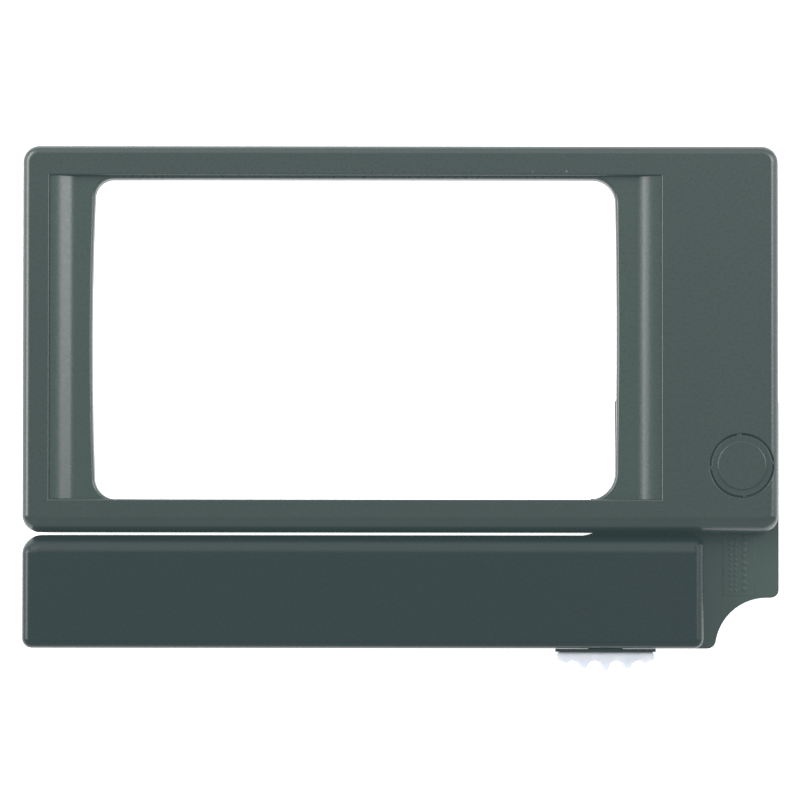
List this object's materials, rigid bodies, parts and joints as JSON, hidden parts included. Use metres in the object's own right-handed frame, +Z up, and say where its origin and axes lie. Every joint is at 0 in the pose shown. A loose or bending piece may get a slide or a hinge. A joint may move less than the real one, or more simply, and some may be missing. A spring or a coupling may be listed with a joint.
{
  "type": "negative carrier",
  "caption": "Hand-held glassless film frame with a long window that swings on a pivot beside a bar handle; a scalloped thumb slide locks it when swung out.",
  "frame": {"origin": "middle of the folded carrier's outline, on the surface it lies on", "axes": "+X along the handle towards the pivot, +Y from the handle towards the frame, +Z up out of the frame's face"},
  "size_m": [0.1328, 0.0918, 0.0105],
  "materials": {
    "housing": "fine-textured grey-green moulded plastic",
    "thumb": "bluish-white translucent natural plastic",
    "bearing": "ivory bearing plastic",
    "steel": "plain spring and screw steel",
    "foot": "matt black rubber"
  },
  "bodies": {
    "handle": {"handle_base": "housing", "handle_cover": "housing", "handle_screws": "steel", "bolt_guide": "bearing", "slide_spring": "steel", "pivot_post": "steel", "pivot_screw": "steel", "thrust_washer": "bearing", "spring_washer": "steel"},
    "frame": {"frame_cover": "housing", "film_gate": "housing", "film_spring_upper": "steel", "film_spring_lower": "steel", "frame_back": "housing", "frame_screws": "steel", "frame_feet": "foot", "latch_strike": "steel", "pivot_bush": "bearing", "pivot_cap": "housing"},
    "thumb_slide": {"slide_carrier": "housing", "thumb_pad": "thumb", "latch_bolt": "steel", "bolt_pin": "steel"}
  },
  "joints": [
    {"name": "frame_swing", "type": "hinge", "parent": "handle", "child": "frame", "pos_m": [0.0596, -0.01009, 0.0065], "axis": [0, 0, 1], "range_deg": [-180, 0]},
    {"name": "latch_slide", "type": "slide", "parent": "handle", "child": "thumb_slide", "axis": [1, 0, 0], "range_m": [0, 0.005]}
  ]
}
